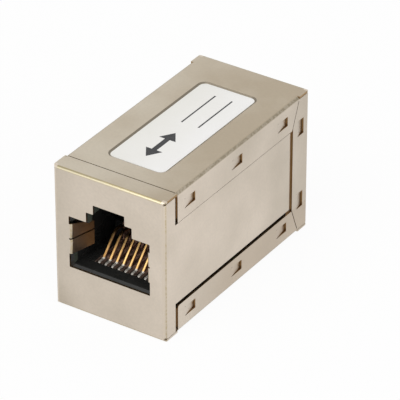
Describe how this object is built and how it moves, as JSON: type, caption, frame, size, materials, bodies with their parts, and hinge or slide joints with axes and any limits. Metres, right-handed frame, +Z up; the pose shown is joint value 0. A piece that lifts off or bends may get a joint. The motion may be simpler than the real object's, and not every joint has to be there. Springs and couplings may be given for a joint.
{
  "type": "rj45 inline coupler",
  "caption": "Shielded inline coupler: a folded metal box with a stepped modular socket at each end, spring contacts and a blank label on top.",
  "frame": {"origin": "centre of the bottom face", "axes": "+X across the coupler, +Y along it from the front jack to the rear jack, +Z up, towards the latch slots"},
  "size_m": [0.017, 0.034, 0.0208],
  "materials": {
    "shield_metal": "satin nickel plate over brass",
    "label_paper": "matt white paper",
    "board_laminate": "green solder mask",
    "housing_plastic": "fine moulded black",
    "carrier_plastic": "fine moulded black",
    "contact_gold": "gold plated"
  },
  "bodies": {
    "root": {"front_shell": "shield_metal", "rear_shell": "shield_metal", "label": "label_paper", "circuit_board": "board_laminate", "front_jack_housing": "housing_plastic", "front_contact_carrier": "carrier_plastic", "front_contact_1": "contact_gold", "front_contact_2": "contact_gold", "front_contact_3": "contact_gold", "front_contact_4": "contact_gold", "front_contact_5": "contact_gold", "front_contact_6": "contact_gold", "front_contact_7": "contact_gold", "front_contact_8": "contact_gold", "rear_jack_housing": "housing_plastic", "rear_contact_carrier": "carrier_plastic", "rear_contact_1": "contact_gold", "rear_contact_2": "contact_gold", "rear_contact_3": "contact_gold", "rear_contact_4": "contact_gold", "rear_contact_5": "contact_gold", "rear_contact_6": "contact_gold", "rear_contact_7": "contact_gold", "rear_contact_8": "contact_gold"}
  },
  "joints": []
}
